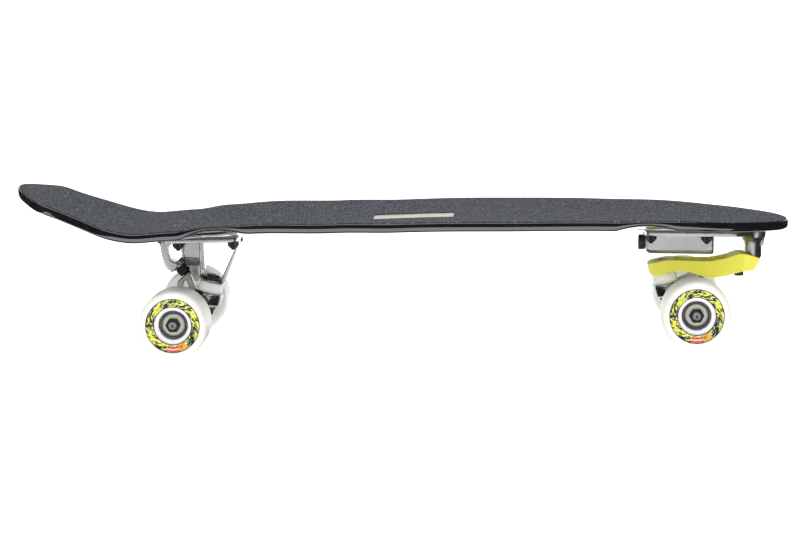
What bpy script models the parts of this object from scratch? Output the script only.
"""Surfskate: a concave kick-tail deck on a spring-centred swing-arm front truck and a tall open rear truck.

Metres, +Z up, nose towards +X. The wheels stand on z = 0 and the origin is below the middle of the deck.
Each truck is drawn in its own frame, with its origin at the middle of its axle and +X towards the nose.
"""

import math

import bpy
import bmesh
from mathutils import Matrix, Vector

# Clearance between pieces that touch
GAP = 0.0003

# Deck
DECK_LENGTH = 0.752
DECK_HALF_WIDTH = 0.1192
PLY = 0.0084
GRIP = 0.0008
RAIL_ROUND = 0.0016
RAIL_SLOPE = 0.0030
CONCAVE = 0.0100
CAMBER = 0.0020
KICK_START = -0.245
KICK_RADIUS = 0.128
KICK_ANGLE = math.radians(21.2)
WINDOW_LENGTH = 0.079
WINDOW_WIDTH = 0.046
WINDOW_X = 0.0115
WINDOW_CORNER = 0.0020
WELL_WIDTH = 0.032
REAR_WELL_X = -0.1753
REAR_WELL_LENGTH = 0.063
REAR_WELL_DEPTH = 0.0062
FRONT_WELL_X = 0.2338
FRONT_WELL_LENGTH = 0.057
FRONT_WELL_DEPTH = 0.0050

# Deck bolts and riser pads
BOLT_SPACING_LONG = 0.053975
BOLT_SPACING_WIDE = 0.04128
BOLT_RADIUS = 0.0024
BOLT_HEAD_RADIUS = 0.0046
BOLT_HEAD_HEIGHT = 0.0026
BOLT_TAIL = 0.0020
BOLT_NUT_FLATS = 0.0095
BOLT_NUT_HEIGHT = 0.0055
RISER = 0.0032

# Wheels
WHEELBASE = 0.494
REAR_AXLE_X = -0.2145
WHEEL_RADIUS = 0.0325
WHEEL_WIDTH = 0.050
WHEEL_TRACK = 0.1796
WHEEL_LIP = 0.0045
CORE_RADIUS = 0.0136
CORE_LENGTH = 0.0345
CORE_WEB = 0.0139
BEARING_RADIUS = 0.011
BEARING_WIDTH = 0.007
BEARING_RECESS = 0.00075
AXLE_RADIUS = 0.00397
AXLE_TIP = 0.0024
AXLE_NUT_FLATS = 0.0127
AXLE_NUT_HEIGHT = 0.0065

# Kingpin, bushings and hanger, alike on both trucks
KINGPIN_TILT = math.radians(15.5)
KINGPIN_RADIUS = 0.00475
KINGPIN_HEAD_RADIUS = 0.0066
KINGPIN_HEAD_HEIGHT = 0.0018
KINGPIN_NUT_FLATS = 0.0143
KINGPIN_NUT_HEIGHT = 0.0068
KINGPIN_TIP = 0.0014
SEAT_AHEAD = 0.0267
SEAT_HEIGHT = 0.0303
SEAT_PLATE = 0.0025
SEAT_RADIUS = 0.0124
UPPER_BUSHING_RADIUS = 0.0120
UPPER_BUSHING_HEIGHT = 0.0110
LOWER_BUSHING_RADIUS = 0.0102
LOWER_BUSHING_HEIGHT = 0.0080
CUP_WASHER = 0.0014
CUP_WASHER_RADIUS = 0.0096
TOP_WASHER = 0.0018
TOP_WASHER_RADIUS = 0.0115
RING_WEB = 0.0056
RING_WALL = 0.0014
HANGER_TUBE_RADIUS = 0.0074
HANGER_END_RADIUS = 0.0064
PIVOT_CUP_HEAD_RADIUS = 0.0065
PIVOT_CUP_HEAD = 0.0080
PIVOT_CUP_RADIUS = 0.0054
PIVOT_CUP_BODY = 0.0042
PIVOT_PIN_RADIUS = 0.0034
PIVOT_PIN_LENGTH = 0.0094
ROCK_LIMIT = math.radians(12.0)

# Baseplates
PLATE_THICKNESS = 0.0040
PLATE_HALF_WIDTH = 0.0290
PLATE_CORNER = 0.0080

# Rear truck
REAR_TRUCK_HEIGHT = 0.0727
REAR_BOLTS_AHEAD = 0.0231
REAR_PLATE_BACK = 0.0240
REAR_PLATE_FRONT = 0.0550
REAR_PIVOT_AHEAD = -0.0030
REAR_PIVOT_HEIGHT = 0.0410
REAR_CUP_REACH = 0.0055
REAR_BOSS_WALL = 0.0018
CASTING_HALF_WIDTH = 0.0090
BLOCK_HALF_WIDTH = 0.0125

# Front truck
FRONT_TRUCK_TILT = math.radians(1.9)
FRONT_TRUCK_HEIGHT = 0.0698
FRONT_BOLTS_AHEAD = -0.0127
FRONT_PLATE_BACK = 0.0454
FRONT_PLATE_FRONT = 0.0725
FRONT_NOSE_HALF_WIDTH = 0.0120
FRONT_PIVOT_AHEAD = 0.0114
FRONT_PIVOT_HEIGHT = 0.0288
FRONT_CUP_REACH = 0.0035

# Swing arm and its pivot
SWING_AHEAD = 0.0603
SWING_LIMIT = math.radians(30.0)
ARM_HALF_WIDTH = 0.0185
ARM_HUB_TOP = 0.0419
ARM_DEPTH = 0.0150
KINGPIN_HEAD_DEPTH = 0.0078
BOSS_RADIUS = 0.0087
BOSS_HEIGHT = 0.0435
BOSS_FILLET = 0.0095
STOP_LUG_RADIUS = 0.0132
STOP_LUG_HEIGHT = 0.0028
STOP_LUG_WALL = math.radians(7.5)
SHAFT_RADIUS = 0.0040
SHAFT_THREAD_RADIUS = 0.0026
SHAFT_THREAD_DEPTH = 0.0036
BUSH_WALL = 0.0017
BUSH_LENGTH = 0.0075
BUSH_FLANGE_RADIUS = 0.0078
STOP_RING = 0.0128
STOP_PIN_RADIUS = 0.0020
STOP_HEAD_RADIUS = 0.0046
STOP_HEAD_HEIGHT = 0.0060
STOP_SEAT_HEIGHT = 0.0316

# Return spring, in the housing under the front baseplate
HOUSING_BACK = 0.0445
HOUSING_FRONT = 0.0220
HOUSING_HALF_WIDTH = 0.0150
HOUSING_HEIGHT = 0.0469
HOUSING_ROUND = 0.0040
SPRING_AXIS_HEIGHT = 0.0569
SPRING_BACK = 0.0330
SPRING_FRONT = 0.0018
SPRING_RADIUS = 0.0052
SPRING_WIRE_RADIUS = 0.0009
SPRING_CURLS = 8
SPRING_SEAT_LENGTH = 0.0040
ROD_RADIUS = 0.0025
ROD_COLLAR_RADIUS = 0.0050
UPRIGHT_AHEAD = 0.0120
UPRIGHT_LENGTH = 0.0040
UPRIGHT_HALF_WIDTH = 0.0032
YOKE_THICKNESS = 0.0024
CRANK_LENGTH = 0.0130
CRANK_THICKNESS = 0.0022
CRANK_HUB_RADIUS = 0.0060
CRANK_PIN_RADIUS = 0.0022
PLUG_THREAD_RADIUS = 0.0064
PLUG_HEAD_RADIUS = 0.0074
PLUG_HEAD_LENGTH = 0.0062
PLUG_HEX_FLATS = 0.0060

# Sides of round pieces
FINE = 28
MEDIUM = 20
COARSE = 14
SLIM = 10


for old in list(bpy.data.objects):
    bpy.data.objects.remove(old, do_unlink=True)


def material(name, colour, roughness, metallic=0.0):
    made = bpy.data.materials.new(name)
    made.use_nodes = True
    shader = made.node_tree.nodes["Principled BSDF"]
    shader.inputs["Base Color"].default_value = (*colour, 1.0)
    shader.inputs["Roughness"].default_value = roughness
    shader.inputs["Metallic"].default_value = metallic
    made.diffuse_color = (*colour, 1.0)
    return made


LACQUER = material("black lacquered maple", (0.012, 0.013, 0.016), 0.25)
GRIT = material("grey grip tape", (0.10, 0.105, 0.12), 0.95)
CAST = material("cast aluminium", (0.52, 0.53, 0.53), 0.35, 0.9)
LIME = material("lime powder coat", (0.68, 0.70, 0.05), 0.35)
STEEL = material("bright steel", (0.60, 0.60, 0.60), 0.25, 1.0)
BLACK_STEEL = material("black oxide steel", (0.02, 0.02, 0.02), 0.40, 0.8)
URETHANE = material("off-white urethane", (0.82, 0.82, 0.76), 0.40)
MILKY_URETHANE = material("milky urethane", (0.66, 0.69, 0.66), 0.35)
CORE_PLASTIC = material("dark core plastic", (0.07, 0.075, 0.09), 0.45)
SHIELD = material("bearing shield", (0.58, 0.60, 0.47), 0.40, 0.3)
BRONZE = material("sintered bronze", (0.45, 0.28, 0.12), 0.45, 0.8)
RUBBER = material("black rubber", (0.015, 0.015, 0.015), 0.80)
RISER_PLASTIC = material("grey riser plastic", (0.16, 0.16, 0.16), 0.60)
SPRING_STEEL = material("spring steel", (0.35, 0.35, 0.36), 0.30, 1.0)


# Shapes

def tidied(shape):
    bmesh.ops.remove_doubles(shape, verts=shape.verts, dist=1e-7)
    bmesh.ops.recalc_face_normals(shape, faces=shape.faces)
    return shape


def turned(profile, steps):
    """Turns (radius, height) points about Z: a closed loop, or a line that starts and ends on the axis."""
    shape = bmesh.new()
    corners = [shape.verts.new((radius, 0.0, height)) for radius, height in profile]
    ends = corners[1:] if profile[0][0] == profile[-1][0] == 0.0 else corners[1:] + corners[:1]
    edges = [shape.edges.new(pair) for pair in zip(corners, ends)]
    bmesh.ops.spin(shape, geom=corners + edges, cent=(0, 0, 0), axis=(0, 0, 1), angle=2 * math.pi,
                   steps=steps, use_merge=True)
    tidied(shape)
    centres = [corner for corner in shape.verts if math.hypot(corner.co.x, corner.co.y) < 1e-6]
    bmesh.ops.dissolve_verts(shape, verts=centres)
    return shape


def rod(radius, start, end, steps=COARSE):
    return turned([(0.0, start), (radius, start), (radius, end), (0.0, end)], steps)


def ring(inner, outer, start, end, steps=MEDIUM):
    return turned([(inner, start), (outer, start), (outer, end), (inner, end)], steps)


def hexagon(flats, start, end):
    return rod(flats / math.sqrt(3), start, end, 6)


def prism(near_loop, far_loop):
    """A closed solid between two loops of as many points."""
    shape = bmesh.new()
    near = [shape.verts.new(point) for point in near_loop]
    far = [shape.verts.new(point) for point in far_loop]
    shape.faces.new(near)
    shape.faces.new(far)
    for i in range(len(near)):
        shape.faces.new([near[i - 1], near[i], far[i], far[i - 1]])
    return tidied(shape)


def across(outline, near, far):
    """An (x, z) outline from y = near to y = far."""
    return prism([(x, near, z) for x, z in outline], [(x, far, z) for x, z in outline])


def upright(outline, bottom, top):
    """An (x, y) outline from z = bottom to z = top."""
    return prism([(x, y, bottom) for x, y in outline], [(x, y, top) for x, y in outline])


def box(x0, x1, y0, y1, z0, z1):
    return upright([(x0, y0), (x1, y0), (x1, y1), (x0, y1)], z0, z1)


def disc(radius, height, x=0.0, y=0.0, steps=COARSE):
    """Points round a circle, for a hull."""
    turns = [2 * math.pi * step / steps for step in range(steps)]
    return [(x + radius * math.cos(turn), y + radius * math.sin(turn), height) for turn in turns]


def hull(points):
    shape = bmesh.new()
    corners = [shape.verts.new(point) for point in points]
    made = bmesh.ops.convex_hull(shape, input=corners)
    inside = set(made["geom_interior"] + made["geom_unused"])
    bmesh.ops.delete(shape, geom=[item for item in inside if isinstance(item, bmesh.types.BMVert)],
                     context="VERTS")
    bmesh.ops.dissolve_limit(shape, angle_limit=math.radians(0.5), verts=shape.verts, edges=shape.edges)
    return tidied(shape)


def rounded(corners, radii, steps=3):
    """The outline with an arc at each corner. A radius of 0 keeps a corner sharp."""
    radii = radii if isinstance(radii, list) else [radii] * len(corners)
    outline = []
    for i, radius in enumerate(radii):
        here = Vector(corners[i])
        if radius == 0.0:
            outline.append(tuple(here))
            continue
        back = (Vector(corners[i - 1]) - here).normalized()
        on = (Vector(corners[(i + 1) % len(corners)]) - here).normalized()
        half = back.angle(on) / 2
        centre = here + (back + on).normalized() * radius / math.sin(half)
        first = here + back * radius / math.tan(half) - centre
        last = here + on * radius / math.tan(half) - centre
        for step in range(steps + 1):
            outline.append(tuple(centre + radius * first.slerp(last, step / steps)))
    return outline


def spread(origin, size, shares):
    """(x, z) points round an origin, given as shares of a size."""
    return [(origin.x + size * x, origin.z + size * z) for x, z in shares]


def curve_through(points, steps):
    """A closed Catmull-Rom curve."""
    count = len(points)
    curve = []
    for i in range(count):
        a, b, c, d = (Vector(points[(i + offset) % count]) for offset in (-1, 0, 1, 2))
        for step in range(steps):
            t = step / steps
            curve.append(0.5 * (2 * b + (c - a) * t + (2 * a - 5 * b + 4 * c - d) * t ** 2
                                + (3 * b - a - 3 * c + d) * t ** 3))
    return curve


def place(x=0.0, y=0.0, z=0.0):
    return Matrix.Translation((x, y, z))


def along(direction, origin):
    """A placement with its Z axis along a direction in the XZ plane and its Y axis kept."""
    z_axis = Vector(direction).normalized()
    x_axis = Vector((0, 1, 0)).cross(z_axis)
    return Matrix.Translation(origin) @ Matrix((x_axis, (0, 1, 0), z_axis)).transposed().to_4x4()


ALONG_X = along((1, 0, 0), (0, 0, 0))
ALONG_Y = Matrix.Rotation(-math.pi / 2, 4, "X")


# Objects: each body's pieces hang from an empty, and are given in the coordinates of their truck

IN_TRUCK = {}


def settle(made, frame, at):
    bpy.context.scene.collection.objects.link(made)
    if frame is not None:
        made.parent = frame
        made.matrix_basis = IN_TRUCK[frame.name].inverted() @ at


def body_frame(name, parent, at):
    made = bpy.data.objects.new(name, None)
    made.empty_display_size = 0.02
    settle(made, parent, at)
    IN_TRUCK[name] = at
    return made


def truck_frame(name, parent, at):
    made = body_frame(name, parent, at)
    IN_TRUCK[name] = Matrix()
    return made


def part(name, shape, finish, frame, at=Matrix()):
    mesh = bpy.data.meshes.new(name)
    shape.to_mesh(mesh)
    shape.free()
    mesh.shade_smooth()
    mesh.set_sharp_from_angle(angle=math.radians(35))
    mesh.materials.append(finish)
    made = bpy.data.objects.new(name, mesh)
    settle(made, frame, at)
    return made


def combine(target, operation, shape, at):
    number = len(target.modifiers) + 1
    tool = part(f"{target.name} tool {number}", shape, target.data.materials[0], target.parent, at)
    tool.hide_render = True
    tool.display_type = "WIRE"
    step = target.modifiers.new(f"{operation.lower()} {number}", "BOOLEAN")
    step.operation = operation
    step.object = tool


def cut(target, shape, at=Matrix()):
    combine(target, "DIFFERENCE", shape, at)


def join(target, shape, at=Matrix()):
    combine(target, "UNION", shape, at)


def keep(target, shape, at=Matrix()):
    combine(target, "INTERSECT", shape, at)


# Where the trucks stand

BOARD = truck_frame("board_frame", None, Matrix())
REAR_IN_WORLD = place(REAR_AXLE_X, 0.0, WHEEL_RADIUS)
FRONT_IN_WORLD = (place(REAR_AXLE_X + WHEELBASE, 0.0, WHEEL_RADIUS)
                  @ Matrix.Rotation(FRONT_TRUCK_TILT, 4, "Y"))
REAR_TRUCK = truck_frame("rear_truck_frame", BOARD, REAR_IN_WORLD)
FRONT_TRUCK = truck_frame("front_truck_frame", BOARD, FRONT_IN_WORLD)


class Truck:
    """What both trucks' lower parts share: the kingpin's line and the line that the hanger rocks on."""

    def __init__(self, name, side, pivot, cup_reach):
        self.name = name
        self.side = side
        # The kingpin's top leans towards the middle of the board.
        self.seat = Vector((side * SEAT_AHEAD, 0.0, SEAT_HEIGHT))
        self.down = Vector((-side * math.sin(KINGPIN_TILT), 0.0, -math.cos(KINGPIN_TILT)))
        self.kingpin = along(self.down, self.seat)
        self.ring = self.seat + self.down * RING_MIDDLE
        self.pivot = Vector((pivot[0], 0.0, pivot[1]))
        self.rock = (self.pivot - self.ring).normalized()
        self.mouth = self.pivot - self.rock * cup_reach
        self.cup = along(self.rock, self.mouth)

    def node_name(self, piece):
        return f"{self.name}_{piece}"


# Distances down the kingpin from the top of its seat
UPPER_BUSHING_START = SEAT_PLATE + GAP
UPPER_BUSHING_END = UPPER_BUSHING_START + UPPER_BUSHING_HEIGHT
RING_START = UPPER_BUSHING_END + GAP
RING_END = RING_START + RING_WEB
RING_MIDDLE = (RING_START + RING_END) / 2
LOWER_BUSHING_START = RING_END + GAP
LOWER_BUSHING_END = LOWER_BUSHING_START + LOWER_BUSHING_HEIGHT
SKIRT_END = LOWER_BUSHING_START + 0.6 * LOWER_BUSHING_HEIGHT
CUP_WASHER_START = LOWER_BUSHING_END + GAP
NUT_START = CUP_WASHER_START + CUP_WASHER + GAP
KINGPIN_END = NUT_START + KINGPIN_NUT_HEIGHT + KINGPIN_TIP
KINGPIN_HOLE = KINGPIN_RADIUS + GAP
PIVOT_CUP_LENGTH = PIVOT_CUP_HEAD + PIVOT_CUP_BODY

REAR = Truck("rear", 1, (REAR_PIVOT_AHEAD, REAR_PIVOT_HEIGHT), REAR_CUP_REACH)
FRONT = Truck("front", -1, (FRONT_PIVOT_AHEAD, FRONT_PIVOT_HEIGHT), FRONT_CUP_REACH)


# Deck

PLY_TOP = GAP + RISER + GAP + PLY
HEAD_TOP = PLY_TOP + GAP + GRIP
REAR_MOUNT = REAR_IN_WORLD @ Vector((REAR_BOLTS_AHEAD, 0.0, REAR_TRUCK_HEIGHT + PLY_TOP))
FRONT_MOUNT = FRONT_IN_WORLD @ Vector((FRONT_BOLTS_AHEAD, 0.0, FRONT_TRUCK_HEIGHT + PLY_TOP))
NOSE_SLOPE = -math.tan(FRONT_TRUCK_TILT)
MOUNT_REACH = 0.9 * BOLT_SPACING_LONG
HALF_LENGTH = DECK_LENGTH / 2


def centre_height(x):
    """The top of the plies on the deck's centre line."""
    kick_end = KICK_START - KICK_RADIUS * math.sin(KICK_ANGLE)
    if x < kick_end:
        rise = KICK_RADIUS * (1 - math.cos(KICK_ANGLE))
        return REAR_MOUNT.z + rise + (kick_end - x) * math.tan(KICK_ANGLE)
    if x < KICK_START:
        return REAR_MOUNT.z + KICK_RADIUS - math.sqrt(KICK_RADIUS ** 2 - (KICK_START - x) ** 2)
    start = REAR_MOUNT.x + MOUNT_REACH
    end = FRONT_MOUNT.x - MOUNT_REACH
    if x < start:
        return REAR_MOUNT.z
    if x > end:
        return FRONT_MOUNT.z + NOSE_SLOPE * (x - FRONT_MOUNT.x)
    span = end - start
    t = (x - start) / span
    end_height = FRONT_MOUNT.z + NOSE_SLOPE * (end - FRONT_MOUNT.x)
    ease = 3 * t ** 2 - 2 * t ** 3
    camber = CAMBER * (4 * t * (1 - t)) ** 2
    return REAR_MOUNT.z * (1 - ease) + end_height * ease + span * NOSE_SLOPE * (t ** 3 - t ** 2) + camber


# How much of the concave is left at each share of the half length
CONCAVE_ALONG = [(-1.00, 0.45), (-0.80, 0.36), (-0.67, 0.15), (-0.57, 0.40), (-0.48, 0.86),
                 (-0.35, 1.08), (-0.16, 0.80), (0.00, 0.57), (0.27, 0.48), (0.53, 0.60),
                 (0.69, 0.75), (0.85, 0.63), (1.00, 0.60)]
WELLS = ((REAR_WELL_X, REAR_WELL_LENGTH, REAR_WELL_DEPTH),
         (FRONT_WELL_X, FRONT_WELL_LENGTH, FRONT_WELL_DEPTH))


def concave_at(x):
    share = x / HALF_LENGTH
    for (x0, c0), (x1, c1) in zip(CONCAVE_ALONG, CONCAVE_ALONG[1:]):
        if share <= x1:
            t = min(max((share - x0) / (x1 - x0), 0.0), 1.0)
            return CONCAVE * (c0 + (c1 - c0) * t * t * (3 - 2 * t))
    return CONCAVE * CONCAVE_ALONG[-1][1]


def ply_top(x, y):
    return centre_height(x) + concave_at(x) * (y / DECK_HALF_WIDTH) ** 2


def steepness(x):
    """The length along the deck for one step in x, which thickens an upright measure of the plies."""
    step = 0.001
    return math.hypot(1.0, (centre_height(x + step) - centre_height(x - step)) / (2 * step))


def well_rise(x, y, rail):
    """How far the wheel wells lift the underside."""
    reach = max((y - rail) / WELL_WIDTH + 1.0, 0.0)
    return sum(depth * max(1 - ((x - centre) * 2 / length) ** 2, 0.0) * reach ** 1.4
               for centre, length, depth in WELLS)


# The deck's plan from tail to nose, as shares of its half length and half width
DECK_PLAN = [(-1.000, 0.000), (-0.992, 0.190), (-0.968, 0.400), (-0.923, 0.668), (-0.867, 0.706),
             (-0.798, 0.785), (-0.745, 0.850), (-0.697, 0.870), (-0.640, 0.879), (-0.572, 0.888),
             (-0.439, 0.925), (-0.266, 0.952), (0.000, 0.971), (0.200, 1.000), (0.372, 0.983),
             (0.532, 0.942), (0.652, 0.888), (0.745, 0.820), (0.811, 0.737), (0.872, 0.632),
             (0.926, 0.490), (0.963, 0.362), (0.988, 0.205), (1.000, 0.000)]
RAIL = [(RAIL_ROUND, 0.0), (0.3 * RAIL_ROUND, 0.10), (0.0, 0.40), (0.2 * RAIL_SLOPE, 0.86), (RAIL_SLOPE, 1.0)]
STRIPS = 6


def deck_stations(steps):
    """Places along the deck's right rail, each with its outward direction."""
    side = [(x * HALF_LENGTH, y * DECK_HALF_WIDTH) for x, y in DECK_PLAN]
    curve = curve_through(side + [(x, -y) for x, y in reversed(side[1:-1])], steps)
    stations = []
    for i in range((len(side) - 1) * steps + 1):
        tangent = (curve[i + 1] - curve[i - 1]).normalized()
        stations.append((curve[i], Vector((-tangent.y, tangent.x))))
    return stations


def sheet(rail, lift, thickness, with_wells):
    """A closed curved sheet. The rail is (inset, share of the depth) points from top to underside."""
    shape = bmesh.new()
    side = [(inset, share, 1.0) for inset, share in rail]
    strips = [1 - 2 * (step + 1) / STRIPS for step in range(STRIPS - 1)]
    section = side + [(*rail[-1], strip) for strip in strips]
    section += [(inset, share, -1.0) for inset, share, _ in reversed(side)]
    section += [(*rail[0], -strip) for strip in strips]
    before = None
    for spot, outward in deck_stations(2):
        loop = []
        for inset, share, strip in section:
            x = spot.x - outward.x * inset
            reach = max(spot.y - outward.y * inset, 0.0)
            y = reach * abs(strip)
            depth = thickness * steepness(x) - (well_rise(x, y, spot.y) if with_wells else 0.0)
            loop.append(shape.verts.new((x, reach * strip, ply_top(x, y) + lift - share * depth)))
        if before:
            for i in range(len(loop)):
                a, b, c, d = before[i - 1], before[i], loop[i], loop[i - 1]
                # Both sides of a strip fold along the same line, so that two sheets lie flat on each other.
                if a.co.y + d.co.y > b.co.y + c.co.y:
                    folded = ((a, b, c), (a, c, d))
                else:
                    folded = ((a, b, d), (b, c, d))
                for corners in folded:
                    shape.faces.new(corners)
        before = loop
    return tidied(shape)


def bolt_places(in_world, ahead, height):
    """The bolts' axes, from the top of a baseplate upwards."""
    return [in_world @ place(ahead + x * BOLT_SPACING_LONG / 2, y * BOLT_SPACING_WIDE / 2, height)
            for x in (-1, 1) for y in (-1, 1)]


REAR_BOLTS = bolt_places(REAR_IN_WORLD, REAR_BOLTS_AHEAD, REAR_TRUCK_HEIGHT)
FRONT_BOLTS = bolt_places(FRONT_IN_WORLD, FRONT_BOLTS_AHEAD, FRONT_TRUCK_HEIGHT)
BOLT_HOLE = BOLT_RADIUS + GAP
NUT_TOP = -PLATE_THICKNESS - GAP
BOLT_END = NUT_TOP - BOLT_NUT_HEIGHT - BOLT_TAIL


def bolt_hole():
    pocket = BOLT_HEAD_RADIUS + GAP
    above = HEAD_TOP + PLY
    return turned([(0.0, BOLT_END - PLY), (BOLT_HOLE, BOLT_END - PLY),
                   (BOLT_HOLE, HEAD_TOP - BOLT_HEAD_HEIGHT - GAP), (pocket, HEAD_TOP - 2 * GAP),
                   (pocket, above), (0.0, above)], SLIM)


def deck_and_grip():
    deck = part("deck", sheet(RAIL, 0.0, PLY, True), LACQUER, BOARD)
    grip_edge = [(RAIL_ROUND, 0.0), (RAIL_ROUND, 1.0)]
    grip = part("grip_tape", sheet(grip_edge, GAP + GRIP, GRIP, False), GRIT, BOARD)
    for at in REAR_BOLTS + FRONT_BOLTS:
        cut(deck, bolt_hole(), at)
        cut(grip, bolt_hole(), at)
    half, wide = WINDOW_LENGTH / 2, WINDOW_WIDTH / 2
    window = rounded([(-half, -wide), (half, -wide), (half, wide), (-half, wide)], WINDOW_CORNER)
    cut(grip, upright(window, REAR_MOUNT.z - PLY, REAR_MOUNT.z + 2 * PLY), place(WINDOW_X))


def deck_bolts():
    for end, places in (("rear", REAR_BOLTS), ("front", FRONT_BOLTS)):
        for number, at in enumerate(places, 1):
            shank = turned([(0.0, BOLT_END), (BOLT_RADIUS, BOLT_END),
                            (BOLT_RADIUS, HEAD_TOP - BOLT_HEAD_HEIGHT), (BOLT_HEAD_RADIUS, HEAD_TOP - GAP),
                            (BOLT_HEAD_RADIUS, HEAD_TOP), (0.0, HEAD_TOP)], SLIM)
            bolt = part(f"deck_bolt_{end}_{number}", shank, BLACK_STEEL, BOARD, at)
            join(bolt, hexagon(BOLT_NUT_FLATS, NUT_TOP - BOLT_NUT_HEIGHT, NUT_TOP), at)


def drill(target, in_world, bolts):
    for at in bolts:
        cut(target, rod(BOLT_HOLE, BOLT_END, HEAD_TOP, SLIM), in_world.inverted() @ at)


# Plans of the baseplates and their riser pads

REAR_PLAN = rounded([(-REAR_PLATE_BACK, -PLATE_HALF_WIDTH), (REAR_PLATE_FRONT, -PLATE_HALF_WIDTH),
                     (REAR_PLATE_FRONT, PLATE_HALF_WIDTH), (-REAR_PLATE_BACK, PLATE_HALF_WIDTH)], PLATE_CORNER)
FRONT_TAPER_START = FRONT_BOLTS_AHEAD + BOLT_SPACING_LONG + PLATE_CORNER / 4
FRONT_TAPER_END = SWING_AHEAD - 0.0010
FRONT_PLAN = rounded([(-FRONT_PLATE_BACK, -PLATE_HALF_WIDTH), (FRONT_TAPER_START, -PLATE_HALF_WIDTH),
                      (FRONT_TAPER_END, -FRONT_NOSE_HALF_WIDTH), (FRONT_PLATE_FRONT, -FRONT_NOSE_HALF_WIDTH),
                      (FRONT_PLATE_FRONT, FRONT_NOSE_HALF_WIDTH), (FRONT_TAPER_END, FRONT_NOSE_HALF_WIDTH),
                      (FRONT_TAPER_START, PLATE_HALF_WIDTH), (-FRONT_PLATE_BACK, PLATE_HALF_WIDTH)],
                     PLATE_CORNER)


# Swing mechanism: the crank on the arm's pivot shaft moves the yoke of the spring slider

CRANK_ANGLES = (-SWING_LIMIT, 0.0, SWING_LIMIT)
CRANK_TRAVEL = CRANK_LENGTH * math.sin(SWING_LIMIT)
CRANK_END_RADIUS = CRANK_PIN_RADIUS + 0.0014
RECESS_FLOOR = FRONT_TRUCK_HEIGHT - 0.0030
CRANK_BOTTOM = RECESS_FLOOR + GAP
CRANK_TOP = CRANK_BOTTOM + CRANK_THICKNESS
YOKE_BOTTOM = FRONT_TRUCK_HEIGHT + GAP
YOKE_TOP = YOKE_BOTTOM + YOKE_THICKNESS
SLOT_CLEARANCE = 0.0005
SLOT_HALF = CRANK_PIN_RADIUS + SLOT_CLEARANCE
YOKE_WALL = 0.0021
TRAVEL_ROOM = CRANK_TRAVEL + 2 * SLOT_CLEARANCE


def crank_pin_at(angle):
    return SWING_AHEAD - CRANK_LENGTH * math.sin(angle), CRANK_LENGTH * math.cos(angle)


def yoke_outline(shift, room):
    """The yoke's plan, moved along the board and grown by some room."""
    back = UPRIGHT_AHEAD - UPRIGHT_LENGTH + shift - room
    shoulder = UPRIGHT_AHEAD + UPRIGHT_LENGTH + shift
    fork_back = SWING_AHEAD - SLOT_HALF - YOKE_WALL + shift - room
    fork_front = SWING_AHEAD + SLOT_HALF + YOKE_WALL + shift + room
    inner = CRANK_LENGTH * math.cos(SWING_LIMIT) - SLOT_HALF - 1.4 * YOKE_WALL - room
    outer = CRANK_LENGTH + SLOT_HALF + YOKE_WALL + room
    narrow = UPRIGHT_HALF_WIDTH + 0.0006 + room
    return [(back, -narrow), (shoulder, -narrow), (fork_front, inner), (fork_front, outer),
            (fork_back, outer), (shoulder - 2 * room, narrow), (back, narrow)]


def swept_yoke(bottom, top):
    """The space that the yoke moves through."""
    spots = [(x, y) for shift in (-TRAVEL_ROOM, TRAVEL_ROOM) for x, y in yoke_outline(shift, 0.0005)]
    return hull([(x, y, z) for x, y in spots for z in (bottom, top)])


def front_riser():
    bottom = FRONT_TRUCK_HEIGHT + GAP
    riser = part("riser_pad_front", upright(FRONT_PLAN, bottom, bottom + RISER), RISER_PLASTIC, FRONT_TRUCK)
    drill(riser, FRONT_IN_WORLD, FRONT_BOLTS)
    cut(riser, swept_yoke(FRONT_TRUCK_HEIGHT - GAP, FRONT_TRUCK_HEIGHT + 2 * RISER))


def rear_riser():
    bottom = REAR_TRUCK_HEIGHT + GAP
    riser = part("riser_pad_rear", upright(REAR_PLAN, bottom, bottom + RISER), RISER_PLASTIC, REAR_TRUCK)
    drill(riser, REAR_IN_WORLD, REAR_BOLTS)


# Rear baseplate

def cup_pocket(groove_radius):
    """The space round a pivot cup and in front of its mouth, along the cup's axis."""
    head = PIVOT_CUP_HEAD_RADIUS + GAP
    body = PIVOT_CUP_RADIUS + GAP
    open_end = -2.2 * PIVOT_CUP_HEAD
    floor = PIVOT_CUP_LENGTH + GAP
    return turned([(0.0, open_end), (groove_radius, open_end), (groove_radius, -GAP), (head, -GAP),
                   (head, PIVOT_CUP_HEAD + GAP), (body, PIVOT_CUP_HEAD + GAP), (body, floor),
                   (0.0, floor)], MEDIUM)


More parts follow.
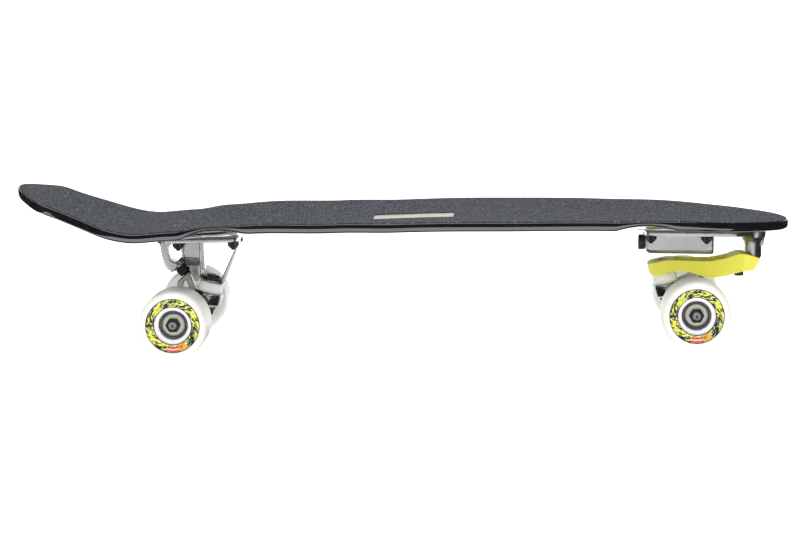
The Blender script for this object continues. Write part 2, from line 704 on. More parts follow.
def rear_baseplate():
    under = REAR_TRUCK_HEIGHT - PLATE_THICKNESS
    inside = under + PLATE_THICKNESS / 2
    back = -REAR_PLATE_BACK
    pivot_x, pivot_z = REAR.pivot.x, REAR.pivot.z
    seat_x, seat_z = REAR.seat.x, REAR.seat.z
    plate = part("rear_baseplate", upright(REAR_PLAN, under, REAR_TRUCK_HEIGHT), CAST, REAR_TRUCK)
    wide = CASTING_HALF_WIDTH

    leg = rounded([(back, inside), (back + 0.0023, under - 0.0146), (pivot_x - 0.0158, pivot_z + 0.0029),
                   (pivot_x - 0.0091, pivot_z - 0.0037), (pivot_x - 0.0045, pivot_z + 0.0020),
                   (pivot_x - 0.0040, pivot_z + 0.0064), (pivot_x - 0.0098, pivot_z + 0.0087),
                   (back + 0.0093, under - 0.0120), (back + 0.0089, under - 0.0060), (back + 0.0150, inside)],
                  [0.0, 0.006, 0.004, 0.002, 0.0, 0.0, 0.003, 0.006, 0.003, 0.0])
    join(plate, across(leg, -wide, wide))

    wall = GAP + REAR_BOSS_WALL
    join(plate, rod(PIVOT_CUP_RADIUS + wall, PIVOT_CUP_HEAD + GAP, PIVOT_CUP_LENGTH + wall, MEDIUM), REAR.cup)

    # The column behind the kingpin, and the block that it ends in
    column = [(seat_x - 0.0270, inside), (seat_x - 0.0266, seat_z + 0.0210), (seat_x - 0.0117, seat_z + 0.0200),
              (seat_x - 0.0114, inside)]
    join(plate, across(column, -wide, wide))
    stay = [(seat_x - 0.0124, inside), (seat_x - 0.0120, seat_z + 0.0180), (seat_x - 0.0112, seat_z + 0.0020),
            (seat_x - 0.0065, seat_z + 0.0010), (seat_x - 0.0078, inside)]
    join(plate, across(stay, -0.6 * wide, 0.6 * wide))
    web = [(seat_x - 0.0312, inside), (seat_x - 0.0290, seat_z + 0.0185), (seat_x - 0.0200, seat_z + 0.0185),
           (seat_x - 0.0200, inside)]
    join(plate, across(web, -wide / 2, wide / 2))
    shoulder = [(x, y * side, z) for side in (-1, 1) for x, y, z in (
        (pivot_x + 0.0008, wide, pivot_z + 0.0078), (pivot_x + 0.0039, wide, pivot_z + 0.0112),
        (seat_x - 0.0120, wide, pivot_z + 0.0102), (pivot_x + 0.0056, BLOCK_HALF_WIDTH, pivot_z + 0.0038),
        (seat_x - 0.0115, BLOCK_HALF_WIDTH, pivot_z + 0.0038))]
    join(plate, hull(shoulder))
    block = [(pivot_x + 0.0056, pivot_z + 0.0040), (pivot_x + 0.0090, pivot_z + 0.0015),
             (pivot_x + 0.0103, pivot_z - 0.0045), (seat_x - 0.0175, seat_z + 0.0017),
             (seat_x - 0.0151, seat_z - 0.0011), (seat_x - 0.0138, seat_z - 0.0011),
             (seat_x - 0.0112, seat_z + 0.0032), (seat_x - 0.0115, pivot_z + 0.0040)]
    join(plate, across(block, -BLOCK_HALF_WIDTH, BLOCK_HALF_WIDTH))

    # The seat, held by the column and by the strut ahead of it
    join(plate, rod(SEAT_RADIUS, 0.0, SEAT_PLATE, MEDIUM), REAR.kingpin)
    front = REAR_PLATE_FRONT
    strut = [(front, inside), (front - 0.0006, under - 0.0047), (seat_x + 0.0135, seat_z - 0.0008),
             (seat_x + 0.0110, seat_z - 0.0040), (seat_x + 0.0085, seat_z - 0.0010),
             (front - 0.0046, under - 0.0082), (front - 0.0050, inside)]
    join(plate, across(strut, -wide, wide))

    cut(plate, cup_pocket(PIVOT_CUP_HEAD_RADIUS + GAP), REAR.cup)
    washer, under_seat = TOP_WASHER_RADIUS + GAP, SEAT_RADIUS + 2 * GAP
    above, top, bottom = -3 * TOP_WASHER - KINGPIN_HEAD_HEIGHT, -GAP / 2, SEAT_PLATE + GAP / 2
    cut(plate, turned([(0.0, above), (washer, above), (washer, top), (KINGPIN_HOLE, top),
                       (KINGPIN_HOLE, bottom), (under_seat, bottom), (under_seat, RING_START),
                       (0.0, RING_START)], MEDIUM), REAR.kingpin)
    drill(plate, REAR_IN_WORLD, REAR_BOLTS)


# Front baseplate, with the swing arm's boss and the spring's housing

CHAMBER_RADIUS = PLUG_THREAD_RADIUS + GAP
SHOULDER_BACK = -SPRING_FRONT + GAP
COLLAR_BORE = ROD_COLLAR_RADIUS + GAP
COLLAR_ROOM_END = UPRIGHT_AHEAD + UPRIGHT_LENGTH / 2 + TRAVEL_ROOM + GAP
BUSH_RADIUS = SHAFT_RADIUS + GAP + BUSH_WALL
BUSH_FLANGE = BOSS_HEIGHT - ARM_HUB_TOP - 2 * GAP


def half_notch():
    """The angle from the arm's middle line to a lug's face, where the stop bolt meets it."""
    return SWING_LIMIT + math.asin(STOP_PIN_RADIUS / STOP_RING) + math.radians(1.5)


def stop_lug(half_angle, radius, bottom, top, inner=0.0):
    """A fan behind the swing axis, from an inner radius outwards."""
    turns = [math.pi + half_angle * (step / 4 - 1) for step in range(9)]
    outline = [(SWING_AHEAD + radius * math.cos(turn), radius * math.sin(turn)) for turn in turns]
    if inner:
        outline += [(SWING_AHEAD + inner * math.cos(turn), inner * math.sin(turn))
                    for turn in reversed(turns)]
    else:
        outline.append((SWING_AHEAD, 0.0))
    return upright(outline, bottom, top)


def front_baseplate():
    under = FRONT_TRUCK_HEIGHT - PLATE_THICKNESS
    inside = under + PLATE_THICKNESS / 2
    swing = place(SWING_AHEAD)
    bore = BUSH_RADIUS + GAP
    fillet = [(BOSS_RADIUS + BOSS_FILLET * (1 - math.cos(turn)), under - BOSS_FILLET * (1 - math.sin(turn)))
              for turn in (0.0, 0.4, 0.8, 1.2, math.pi / 2)]
    boss = [(0.0, BOSS_HEIGHT), (BOSS_RADIUS - 0.0005, BOSS_HEIGHT), (BOSS_RADIUS, BOSS_HEIGHT + 0.0005)]
    boss += fillet + [(fillet[-1][0], inside), (0.0, inside)]
    plate = part("front_baseplate", turned(boss, FINE), CAST, FRONT_TRUCK, swing)
    # The boss's fillet ends a little inside the plate's edge.
    within = [(x - GAP if x > SWING_AHEAD else x, y - math.copysign(GAP, y)) for x, y in FRONT_PLAN]
    keep(plate, upright(within, 0.5 * BOSS_HEIGHT, 2 * BOSS_HEIGHT))
    join(plate, upright(FRONT_PLAN, under, FRONT_TRUCK_HEIGHT))
    tip = FRONT_PLATE_FRONT
    nose = [(SWING_AHEAD, inside), (tip - 0.0004, inside), (tip - 0.0011, under - 0.0020),
            (tip - 0.0020, under - 0.0095), (SWING_AHEAD + BOSS_RADIUS - 0.0004, under - 0.0110),
            (SWING_AHEAD, under - 0.0110)]
    join(plate, across(nose, -0.7 * BOSS_RADIUS, 0.7 * BOSS_RADIUS))

    housing = []
    edge = HOUSING_ROUND
    for inset, half in ((0.0, HOUSING_HALF_WIDTH - edge), (0.3 * edge, HOUSING_HALF_WIDTH - 0.3 * edge),
                        (edge, HOUSING_HALF_WIDTH)):
        low = HOUSING_HEIGHT + inset
        back, front = 0.5 * inset - HOUSING_BACK, HOUSING_FRONT - 0.5 * inset
        outline = rounded([(back, inside), (back, low), (front, low), (front, inside)],
                          [0.0, HOUSING_ROUND - 0.5 * inset, 0.5 * (HOUSING_ROUND - 0.5 * inset), 0.0])
        housing += [(x, y, z) for x, z in outline for y in (-half, half)]
    join(plate, hull(housing))
    join(plate, stop_lug(half_notch() + STOP_LUG_WALL, STOP_LUG_RADIUS, BOSS_HEIGHT + GAP,
                         BOSS_HEIGHT + STOP_LUG_HEIGHT))

    # Bores for the two pivot bearings, with a shoulder between them
    low, high = BOSS_HEIGHT + BUSH_LENGTH + GAP, RECESS_FLOOR - GAP - BUSH_LENGTH - GAP
    neck = bore - 0.0012
    cut(plate, turned([(0.0, BOSS_HEIGHT - GAP), (bore, BOSS_HEIGHT - GAP), (bore, low), (neck, low),
                       (neck, high), (bore, high), (bore, RECESS_FLOOR + GAP),
                       (0.0, RECESS_FLOOR + GAP)], MEDIUM), swing)

    # Recess for the crank, and the notch between the lugs that limit the swing
    crank_room = [disc(CRANK_END_RADIUS + 2 * GAP, height, *crank_pin_at(angle))
                  for angle in CRANK_ANGLES for height in (RECESS_FLOOR, 2 * FRONT_TRUCK_HEIGHT)]
    crank_room += [disc(CRANK_HUB_RADIUS + 2 * GAP, height, SWING_AHEAD)
                   for height in (RECESS_FLOOR, 2 * FRONT_TRUCK_HEIGHT)]
    cut(plate, hull(sum(crank_room, [])))
    deep = STOP_RING - STOP_PIN_RADIUS - 2 * GAP
    cut(plate, stop_lug(half_notch(), STOP_LUG_RADIUS + 0.001, BOSS_HEIGHT - GAP,
                        BOSS_HEIGHT + STOP_LUG_HEIGHT + GAP, deep))

    # Chamber for the spring and plug, room for the rod's collar, and the slot for the slider's upright
    spring = place(z=SPRING_AXIS_HEIGHT) @ ALONG_X
    cut(plate, rod(CHAMBER_RADIUS, -HOUSING_BACK - 0.001, SHOULDER_BACK, MEDIUM), spring)
    cut(plate, rod(COLLAR_BORE, SHOULDER_BACK - GAP, COLLAR_ROOM_END, MEDIUM), spring)
    slot_half = UPRIGHT_LENGTH / 2 + TRAVEL_ROOM
    cut(plate, box(UPRIGHT_AHEAD - slot_half, UPRIGHT_AHEAD + slot_half, -UPRIGHT_HALF_WIDTH - GAP,
                   UPRIGHT_HALF_WIDTH + GAP, SPRING_AXIS_HEIGHT, 2 * FRONT_TRUCK_HEIGHT))
    drill(plate, FRONT_IN_WORLD, FRONT_BOLTS)


def pivot_bearings():
    inner = SHAFT_RADIUS + GAP
    top = RECESS_FLOOR - GAP
    part("arm_bearing_upper", ring(inner, BUSH_RADIUS, top - BUSH_LENGTH, top), BRONZE, FRONT_TRUCK,
         place(SWING_AHEAD))
    flange_top = BOSS_HEIGHT - GAP
    lower = [(inner, flange_top - BUSH_FLANGE), (BUSH_FLANGE_RADIUS, flange_top - BUSH_FLANGE),
             (BUSH_FLANGE_RADIUS, flange_top), (BUSH_RADIUS, flange_top),
             (BUSH_RADIUS, BOSS_HEIGHT + BUSH_LENGTH), (inner, BOSS_HEIGHT + BUSH_LENGTH)]
    part("arm_bearing_lower", turned(lower, MEDIUM), BRONZE, FRONT_TRUCK, place(SWING_AHEAD))


SWING = body_frame("swing_frame", FRONT_TRUCK, place(SWING_AHEAD))
SLIDER = body_frame("slider_frame", FRONT_TRUCK, place(z=SPRING_AXIS_HEIGHT))
PLUG = body_frame("plug_frame", FRONT_TRUCK, place(-HOUSING_BACK, 0.0, SPRING_AXIS_HEIGHT))
REAR_ROCK = body_frame("rear_rock_frame", REAR_TRUCK, along(REAR.rock, REAR.ring))
FRONT_ROCK = body_frame("front_rock_frame", SWING, along(FRONT.rock, FRONT.ring))


def pivot_shaft():
    """The shaft that screws into the arm's hub, in one piece with its crank and crank pin."""
    thread_end = ARM_HUB_TOP - SHAFT_THREAD_DEPTH + GAP
    step = ARM_HUB_TOP + GAP
    shaft = part("arm_pivot_shaft", turned([(0.0, thread_end), (SHAFT_THREAD_RADIUS, thread_end),
                                            (SHAFT_THREAD_RADIUS, step), (SHAFT_RADIUS, step),
                                            (SHAFT_RADIUS, CRANK_TOP), (0.0, CRANK_TOP)], MEDIUM),
                 STEEL, SWING, place(SWING_AHEAD))
    crank = [point for height in (CRANK_BOTTOM, CRANK_TOP)
             for point in disc(CRANK_HUB_RADIUS, height, SWING_AHEAD)
             + disc(CRANK_END_RADIUS, height, *crank_pin_at(0.0))]
    join(shaft, hull(crank))
    join(shaft, rod(CRANK_PIN_RADIUS, CRANK_BOTTOM + GAP, YOKE_TOP), place(*crank_pin_at(0.0)))


def spring_slider():
    """Two collars on a rod squeeze the spring from either end, and a yoke over the plate moves the rod."""
    back, front = -SPRING_BACK - GAP, SHOULDER_BACK
    tip = UPRIGHT_AHEAD + UPRIGHT_LENGTH / 2
    outline = [(0.0, back - SPRING_SEAT_LENGTH), (ROD_COLLAR_RADIUS, back - SPRING_SEAT_LENGTH),
               (ROD_COLLAR_RADIUS, back), (ROD_RADIUS, back), (ROD_RADIUS, front),
               (ROD_COLLAR_RADIUS, front), (ROD_COLLAR_RADIUS, front + SPRING_SEAT_LENGTH),
               (ROD_RADIUS, front + SPRING_SEAT_LENGTH), (ROD_RADIUS, tip), (0.0, tip)]
    slider = part("spring_slider", turned(outline, COARSE), STEEL, SLIDER,
                  place(z=SPRING_AXIS_HEIGHT) @ ALONG_X)
    join(slider, box(UPRIGHT_AHEAD - UPRIGHT_LENGTH / 2, tip - GAP / 2, -UPRIGHT_HALF_WIDTH,
                     UPRIGHT_HALF_WIDTH, SPRING_AXIS_HEIGHT - ROD_RADIUS / 2, YOKE_TOP - GAP))
    join(slider, upright(yoke_outline(0.0, 0.0), YOKE_BOTTOM, YOKE_TOP))
    inner = CRANK_LENGTH * math.cos(SWING_LIMIT) - SLOT_HALF
    outer = CRANK_LENGTH + SLOT_HALF
    cut(slider, box(SWING_AHEAD - SLOT_HALF, SWING_AHEAD + SLOT_HALF, inner, outer, YOKE_BOTTOM - GAP,
                    YOKE_TOP + GAP))


def return_spring():
    """One tube of wire; prints the least space between its curls."""
    start = -SPRING_BACK + SPRING_WIRE_RADIUS
    end = -SPRING_FRONT - SPRING_WIRE_RADIUS
    count = SPRING_CURLS * 8
    curve = bpy.data.curves.new("return_spring", "CURVE")
    curve.dimensions = "3D"
    curve.bevel_depth = SPRING_WIRE_RADIUS
    curve.bevel_resolution = 1
    curve.use_fill_caps = True
    line = curve.splines.new("POLY")
    line.points.add(count)
    points = []
    for i in range(count + 1):
        turn = 2 * math.pi * SPRING_CURLS * i / count
        points.append(Vector((start + (end - start) * i / count, SPRING_RADIUS * math.cos(turn),
                              SPRING_RADIUS * math.sin(turn))))
        line.points[i].co = (*points[i], 1.0)
    curve.materials.append(SPRING_STEEL)
    made = bpy.data.objects.new("return_spring", curve)
    settle(made, FRONT_TRUCK, place(z=SPRING_AXIS_HEIGHT))
    least = min((a - b).length for i, a in enumerate(points) for b in points[i + 6:])
    print(f"least space between the spring's curls: {(least - 2 * SPRING_WIRE_RADIUS) * 1000:.2f} mm")


def tension_plug():
    """The threaded plug that seats the spring, with a hex socket outside and a bore for the rod inside."""
    head_end = -HOUSING_BACK - GAP - PLUG_HEAD_LENGTH
    bore_end = -SPRING_BACK - GAP - SPRING_SEAT_LENGTH - TRAVEL_ROOM - GAP
    rim = -SPRING_BACK - GAP
    neck = -HOUSING_BACK - GAP
    outline = [(0.0, head_end), (PLUG_HEAD_RADIUS - 0.0005, head_end),
               (PLUG_HEAD_RADIUS, head_end + 0.0005), (PLUG_HEAD_RADIUS, neck), (PLUG_THREAD_RADIUS, neck),
               (PLUG_THREAD_RADIUS, rim), (COLLAR_BORE, rim), (COLLAR_BORE, bore_end), (0.0, bore_end)]
    at = place(z=SPRING_AXIS_HEIGHT) @ ALONG_X
    plug = part("tension_plug", turned(outline, MEDIUM), BLACK_STEEL, PLUG, at)
    cut(plug, hexagon(PLUG_HEX_FLATS, head_end - GAP, (head_end + bore_end) / 2), at)


def swing_arm():
    seat, pivot, hub = FRONT.seat, FRONT.pivot, Vector((SWING_AHEAD, 0.0, ARM_HUB_TOP))
    outline = spread(seat, ARM_DEPTH, [(-1.007, 0.4), (-0.707, 0.527), (-0.153, 0.653), (0.3, 0.747),
                                       (1.04, 0.74)])
    outline += spread(pivot, ARM_DEPTH, [(-0.16, 0.807), (0.52, 0.827)])
    outline += spread(hub, ARM_DEPTH, [(-2.053, 0.08), (-1.587, 0.207), (-1.227, 0.353),
                                       (-0.907, 0.453), (-0.587, 0.433), (-0.08, 0.3), (0.413, 0.113)])
    outline += spread(hub, ARM_DEPTH, [(0.427, -0.013), (0.287, -0.3), (0.053, -0.667),
                                       (-0.413, -0.693), (-0.78, -0.727), (-1.38, -0.907),
                                       (-1.787, -1.033)])
    outline += spread(pivot, ARM_DEPTH, [(0.92, -0.253), (0.373, -0.267), (-0.047, -0.187),
                                         (-0.467, -0.027), (-0.933, 0.1)])
    outline += spread(seat, ARM_DEPTH, [(1.06, 0.04), (0.46, -0.04), (0, -0.213), (-0.407, -0.313),
                                        (-0.733, -0.313), (-0.88, -0.2)])
    arm = part("swing_arm", across(outline, -ARM_HALF_WIDTH, ARM_HALF_WIDTH), LIME, SWING)
    tail, nose = seat.x - 1.027 * ARM_DEPTH, hub.x + 0.447 * ARM_DEPTH
    taper = nose - 0.85 * ARM_HALF_WIDTH
    full = 0.998
    shares = ((tail, -full), (taper, -full), (nose, -0.5), (nose, 0.5), (taper, full), (tail, full))
    plan = rounded([(x, share * ARM_HALF_WIDTH) for x, share in shares],
                   [ARM_DEPTH * share for share in (0.73, 0.4, 0.13, 0.13, 0.4, 0.73)])
    keep(arm, upright(plan, 0.0, 2 * hub.z))
    back, front, wide = seat.x + 0.733 * ARM_DEPTH, hub.x - 1.6 * ARM_DEPTH, 0.65 * ARM_HALF_WIDTH
    pocket = rounded([(back, -wide), (front, -wide), (front, wide), (back, wide)], ARM_DEPTH / 3)
    cut(arm, upright(pocket, seat.z + 0.58 * ARM_DEPTH, 2 * hub.z))

    # Dish for the boss and its lugs, threaded hole for the shaft, and the stop bolt's hole
    swing = place(SWING_AHEAD)
    dish, thread = BOSS_RADIUS + 2 * GAP, SHAFT_THREAD_RADIUS + GAP
    thread_end = ARM_HUB_TOP - SHAFT_THREAD_DEPTH
    cut(arm, turned([(0.0, thread_end), (thread, thread_end), (thread, ARM_HUB_TOP), (dish, ARM_HUB_TOP),
                     (dish, 2 * ARM_HUB_TOP), (0.0, 2 * ARM_HUB_TOP)], FINE), swing)
    lug_room = half_notch() + STOP_LUG_WALL + SWING_LIMIT + math.radians(2.0)
    cut(arm, stop_lug(lug_room, STOP_LUG_RADIUS + 2 * GAP, ARM_HUB_TOP + GAP / 2, 2 * ARM_HUB_TOP))
    head, pin = STOP_HEAD_RADIUS + 2 * GAP, STOP_PIN_RADIUS + GAP
    cut(arm, turned([(0.0, 0.0), (head, 0.0), (head, STOP_SEAT_HEIGHT), (pin, STOP_SEAT_HEIGHT),
                     (pin, 2 * ARM_HUB_TOP), (0.0, 2 * ARM_HUB_TOP)], COARSE), place(SWING_AHEAD - STOP_RING))

    # Kingpin seat below, counterbore for its head above, and the pivot cup's pocket
    join(arm, rod(SEAT_RADIUS, -SEAT_PLATE, SEAT_PLATE, MEDIUM), FRONT.kingpin)
    head, above, under_seat = KINGPIN_HEAD_RADIUS + 3 * GAP, -3 * SEAT_RADIUS, SEAT_RADIUS + 2 * GAP
    bottom = SEAT_PLATE + GAP / 2
    cut(arm, turned([(0.0, above), (head, above), (head, -KINGPIN_HEAD_DEPTH),
                     (KINGPIN_HOLE, -KINGPIN_HEAD_DEPTH), (KINGPIN_HOLE, bottom), (under_seat, bottom),
                     (under_seat, RING_START), (0.0, RING_START)], MEDIUM), FRONT.kingpin)
    cut(arm, cup_pocket(NECK_CLEARANCE), FRONT.cup)


def swing_stop():
    top = BOSS_HEIGHT + 0.8 * STOP_LUG_HEIGHT
    under = STOP_SEAT_HEIGHT - GAP
    outline = [(0.0, under - STOP_HEAD_HEIGHT), (STOP_HEAD_RADIUS - 0.0004, under - STOP_HEAD_HEIGHT),
               (STOP_HEAD_RADIUS, under - STOP_HEAD_HEIGHT + 0.0004), (STOP_HEAD_RADIUS, under),
               (STOP_PIN_RADIUS, under), (STOP_PIN_RADIUS, top), (0.0, top)]
    at = place(SWING_AHEAD - STOP_RING)
    bolt = part("swing_stop_bolt", turned(outline, COARSE), BLACK_STEEL, SWING, at)
    cut(bolt, hexagon(STOP_HEAD_RADIUS, under - STOP_HEAD_HEIGHT - GAP, under - 0.4 * STOP_HEAD_HEIGHT), at)


# Lower parts of both trucks

NECK_CLEARANCE = PIVOT_CUP_HEAD_RADIUS + 0.0011
WHEEL_Y = WHEEL_TRACK / 2
BEARING_OUT = CORE_LENGTH / 2 - BEARING_RECESS
WEB_OUT = BEARING_OUT - BEARING_WIDTH - GAP
WEB_IN = CORE_WEB - WEB_OUT
BEARING_IN = WEB_IN + GAP + BEARING_WIDTH
HANGER_END = WHEEL_Y - BEARING_IN - GAP
SHOULDER = 0.0013
AXLE_NUT_START = WHEEL_Y + BEARING_OUT + GAP
AXLE_END = AXLE_NUT_START + AXLE_NUT_HEIGHT + AXLE_TIP
AXLE_BORE = AXLE_RADIUS + GAP
KINGPIN_SWAY = (KINGPIN_END - RING_MIDDLE) * math.tan(ROCK_LIMIT)


def neck_outline(truck):
    """The rear hanger's stem and curved rib, or the front one's straight neck, as (x, z) outlines."""
    upward = Vector((-truck.rock.z, 0.0, truck.rock.x)) * truck.side * -1
    root, end = truck.ring + truck.rock * 0.008, truck.mouth - truck.rock * (2 * GAP)
    thick = PIVOT_PIN_RADIUS + 0.0008
    if truck is FRONT:
        outline = [root + upward * thick, end + upward * thick, end - upward * thick,
                   Vector((0.0050, 0.0, 0.0040)), Vector((-0.0060, 0.0, -0.0030))]
        return [[(point.x, point.z) for point in outline]], 0.0050
    mouth_x, mouth_z = truck.mouth.x, truck.mouth.z
    rib = [(mouth_x + 0.0036, mouth_z + 0.0012), (mouth_x + 0.0045, mouth_z - 0.0027),
           (mouth_x + 0.0077, mouth_z - 0.0107), (mouth_x + 0.0100, mouth_z - 0.0160),
           (truck.ring.x - 0.0080, truck.ring.z + 0.0045), (truck.ring.x - 0.0050, truck.ring.z - 0.0040),
           (0.0070, 0.0040), (0.0042, 0.0120), (mouth_x + 0.0052, mouth_z - 0.0195),
           (mouth_x + 0.0016, mouth_z - 0.0110), (mouth_x - 0.0006, mouth_z - 0.0068),
           (mouth_x - 0.0040, mouth_z - 0.0052)]
    stem = [(-0.0070, 0.0), (-0.0084, mouth_z - 0.0140), (mouth_x - 0.0084, mouth_z - 0.0083),
            (mouth_x - 0.0048, mouth_z - 0.0052), (mouth_x - 0.0010, mouth_z - 0.0016),
            (mouth_x + 0.0030, mouth_z - 0.0040), (mouth_x - 0.0020, mouth_z - 0.0085),
            (mouth_x - 0.0036, mouth_z - 0.0130), (-0.0028, 0.0)]
    return [rib, stem], 0.0045


def hanger(truck, frame):
    end, tube = HANGER_END, HANGER_TUBE_RADIUS
    journal = HANGER_END_RADIUS - 0.0008
    half = [(0.0, end), (journal, end), (journal, end - SHOULDER), (HANGER_END_RADIUS, end - SHOULDER),
            (HANGER_END_RADIUS, 0.62 * end), (tube, 0.3 * end)]
    barrel = turned([(r, -y) for r, y in half] + half[::-1], MEDIUM)
    made = part(truck.node_name("hanger"), barrel, CAST, frame, ALONG_Y)

    # The ring round the bushings
    upper_lip = UPPER_BUSHING_RADIUS + 2 * GAP
    lower_lip = LOWER_BUSHING_RADIUS + 2 * GAP
    rim = upper_lip + RING_WALL
    bowl = [(0.0, RING_START), (upper_lip, RING_START), (upper_lip, RING_START - RING_WALL),
            (rim, RING_START - 0.6 * RING_WALL), (rim, RING_START + 0.8 * RING_WALL),
            (rim - 0.2 * RING_WALL, RING_END - 0.7 * RING_WALL), (lower_lip + 1.3 * RING_WALL, SKIRT_END),
            (0.0, SKIRT_END)]
    web = [truck.kingpin @ Vector(point) for height in (RING_START + 0.0006, RING_END + 0.0006)
           for point in disc(upper_lip - 0.001, height)]
    web += [(x, y, z) for y in (-0.34 * end, 0.34 * end) for x, z, _ in disc(0.88 * tube, 0.0)]
    join(made, hull(web))
    join(made, turned(bowl, MEDIUM), truck.kingpin)
    outlines, half_width = neck_outline(truck)
    for outline in outlines:
        join(made, across(outline, -half_width, half_width))
    pin_base = PIVOT_PIN_RADIUS + 0.0010
    pin, tip = PIVOT_PIN_RADIUS, PIVOT_PIN_LENGTH
    join(made, turned([(0.0, -0.0045), (pin_base, -0.0045), (pin_base, -GAP - 0.0002), (pin, -GAP),
                       (pin, tip - 0.0006), (pin - 0.0006, tip), (0.0, tip)], COARSE), truck.cup)

    cut(made, rod(upper_lip, RING_START - 2 * UPPER_BUSHING_HEIGHT, RING_START, MEDIUM), truck.kingpin)
    cut(made, rod(KINGPIN_RADIUS + 0.0013, RING_START - GAP, RING_END + GAP), truck.kingpin)
    low = KINGPIN_END + KINGPIN_TIP
    lower_room = disc(lower_lip, RING_END)
    for sway in (-KINGPIN_SWAY, KINGPIN_SWAY):
        lower_room += disc(lower_lip - 2 * GAP, SKIRT_END, 0.0, sway / 2)
        lower_room += disc(CUP_WASHER_RADIUS + 2 * GAP, low, 0.0, sway)
    cut(made, hull(lower_room), truck.kingpin)
    cut(made, rod(AXLE_BORE, -2 * end, 2 * end), ALONG_Y)


def axle(truck, frame):
    thread = AXLE_RADIUS - 0.0005
    outline = [(0.0, -AXLE_END), (thread, -AXLE_END), (AXLE_RADIUS, -AXLE_END + 0.0005),
               (AXLE_RADIUS, AXLE_END - 0.0005), (thread, AXLE_END), (0.0, AXLE_END)]
    part(truck.node_name("axle"), turned(outline, COARSE), STEEL, frame, ALONG_Y)


def kingpin_stack(truck, frame, head_under):
    """The kingpin, its washers, nut and bushings. The head's underside is above the seat by head_under."""
    at = truck.kingpin
    radius, head = KINGPIN_RADIUS, KINGPIN_HEAD_RADIUS
    head_top = -head_under - KINGPIN_HEAD_HEIGHT
    outline = [(0.0, head_top), (head - 0.0008, head_top), (head, head_top + 0.0008), (head, -head_under),
               (radius, -head_under), (radius, KINGPIN_END - 0.0006), (radius - 0.0006, KINGPIN_END),
               (0.0, KINGPIN_END)]
    part(truck.node_name("kingpin"), turned(outline, COARSE), BLACK_STEEL, frame, at)
    hexagonal = hexagon(KINGPIN_NUT_FLATS, NUT_START, NUT_START + KINGPIN_NUT_HEIGHT)
    nut = part(truck.node_name("kingpin_nut"), hexagonal, BLACK_STEEL, frame, at)
    cut(nut, rod(KINGPIN_HOLE, NUT_START - GAP, KINGPIN_END), at)
    rim, under = CUP_WASHER_START - 0.0009, CUP_WASHER_START + CUP_WASHER
    washer = [(KINGPIN_HOLE, CUP_WASHER_START), (CUP_WASHER_RADIUS - 0.0011, CUP_WASHER_START),
              (CUP_WASHER_RADIUS - 0.0006, rim), (CUP_WASHER_RADIUS, rim),
              (CUP_WASHER_RADIUS - 0.0003, under), (KINGPIN_HOLE, under)]
    part(truck.node_name("washer_lower"), turned(washer, MEDIUM), BLACK_STEEL, frame, at)
    bore = KINGPIN_HOLE + GAP
    full = UPPER_BUSHING_RADIUS
    top, bottom = UPPER_BUSHING_START, UPPER_BUSHING_END
    barrel = [(bore, top), (full - 0.0012, top), (full - 0.0004, top + 0.0010), (full, (top + bottom) / 2),
              (full - 0.0004, bottom - 0.0010), (full - 0.0012, bottom), (bore, bottom)]
    part(truck.node_name("bushing_upper"), turned(barrel, MEDIUM), MILKY_URETHANE, frame, at)
    full = LOWER_BUSHING_RADIUS
    top, bottom = LOWER_BUSHING_START, LOWER_BUSHING_END
    cone = [(bore, top), (full - 0.0008, top), (full, top + 0.0008), (CUP_WASHER_RADIUS - 0.0018, bottom),
            (bore, bottom)]
    part(truck.node_name("bushing_lower"), turned(cone, MEDIUM), MILKY_URETHANE, frame, at)


def pivot_cup(truck, frame):
    bore = PIVOT_PIN_RADIUS + GAP
    floor = PIVOT_PIN_LENGTH + GAP
    head, body = PIVOT_CUP_HEAD_RADIUS, PIVOT_CUP_RADIUS
    outline = [(0.0, floor), (bore, floor), (bore, 0.0), (head - 0.0010, 0.0), (head, 0.0010),
               (head, PIVOT_CUP_HEAD), (body, PIVOT_CUP_HEAD), (body, PIVOT_CUP_LENGTH),
               (0.0, PIVOT_CUP_LENGTH)]
    part(truck.node_name("pivot_cup"), turned(outline, COARSE), RUBBER, frame, truck.cup)


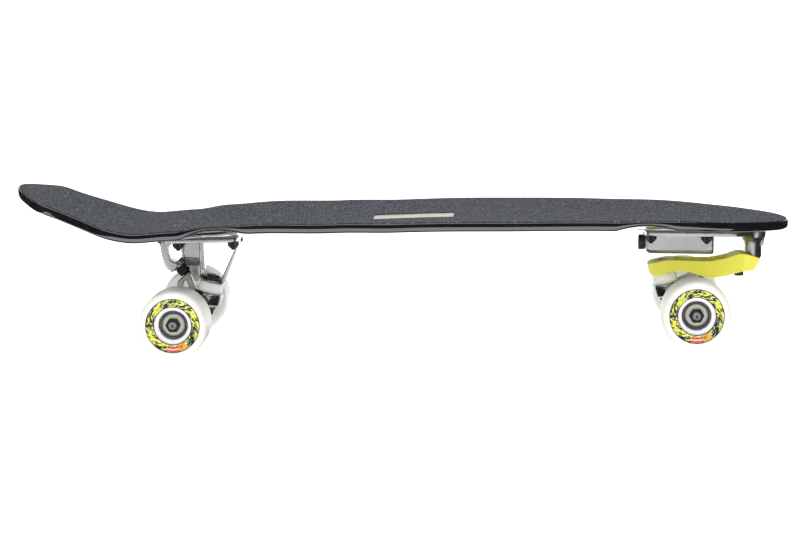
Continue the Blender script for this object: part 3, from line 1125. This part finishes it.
def wheel(truck, rock_frame, side_name, side):
    """A tyre on a core with two bearings. Heights in the profiles run outwards from the wheel's middle."""
    at = place(y=side * WHEEL_Y) @ Matrix.Rotation(-side * math.pi / 2, 4, "X")
    name = f"{truck.name}_{side_name}"
    frame = body_frame(f"{name}_wheel_frame", rock_frame, at)
    half, radius, lip = WHEEL_WIDTH / 2, WHEEL_RADIUS, WHEEL_LIP
    inner = CORE_RADIUS + GAP
    core_end = CORE_LENGTH / 2
    edge = [(radius - 0.0055, half), (radius - 0.0022, half - 0.0012),
            (radius - 0.0005, half - lip + 0.0008), (radius, half - 1.6 * lip)]
    tyre = [(inner, core_end + 0.0026), (inner + 0.0039, half - 0.0035), (inner + 0.0043, half - 0.0006)]
    tyre += edge + [(r, -height) for r, height in reversed(edge)]
    tyre += [(inner + 0.0040, -half + 0.0015), (inner, -core_end - 0.0010)]
    part(f"{name}_tyre", turned(tyre, FINE), URETHANE, frame, at)
    seat = BEARING_RADIUS + GAP
    shelf = 0.78 * BEARING_RADIUS
    core = [(shelf, -WEB_IN), (seat, -WEB_IN), (seat, -core_end), (CORE_RADIUS, -core_end),
            (CORE_RADIUS, core_end), (seat, core_end), (seat, WEB_OUT), (shelf, WEB_OUT)]
    part(f"{name}_core", turned(core, MEDIUM), CORE_PLASTIC, frame, at)
    for place_name, sign, start, end in (("outer", 1, WEB_OUT, BEARING_OUT), ("inner", -1, WEB_IN, BEARING_IN)):
        near, far = sign * (start + GAP), sign * end
        bearing = [(AXLE_BORE, near), (BEARING_RADIUS, near), (BEARING_RADIUS, far - sign * 0.0004),
                   (BEARING_RADIUS - 0.0004, far), (AXLE_BORE, far)]
        part(f"{name}_bearing_{place_name}", turned(bearing, COARSE), SHIELD, frame, at)
    nut_start = AXLE_NUT_START - WHEEL_Y
    nut_end = nut_start + AXLE_NUT_HEIGHT
    nut = part(f"{name}_axle_nut", hexagon(AXLE_NUT_FLATS, nut_start, nut_end), BLACK_STEEL, rock_frame, at)
    cut(nut, rod(AXLE_BORE, nut_start - GAP, nut_end + GAP), at)


def top_washer():
    part("rear_washer_upper", ring(KINGPIN_HOLE, TOP_WASHER_RADIUS, -GAP - TOP_WASHER, -GAP), BLACK_STEEL,
         REAR_TRUCK, REAR.kingpin)


deck_and_grip()
deck_bolts()
rear_riser()
front_riser()
rear_baseplate()
front_baseplate()
pivot_bearings()
pivot_shaft()
spring_slider()
return_spring()
tension_plug()
swing_arm()
swing_stop()
top_washer()
for truck, base_frame, rock_frame, head_under in ((REAR, REAR_TRUCK, REAR_ROCK, TOP_WASHER + 2 * GAP),
                                                  (FRONT, SWING, FRONT_ROCK, KINGPIN_HEAD_DEPTH + GAP)):
    hanger(truck, rock_frame)
    axle(truck, rock_frame)
    kingpin_stack(truck, base_frame, head_under)
    pivot_cup(truck, base_frame)
    wheel(truck, rock_frame, "left", 1)
    wheel(truck, rock_frame, "right", -1)
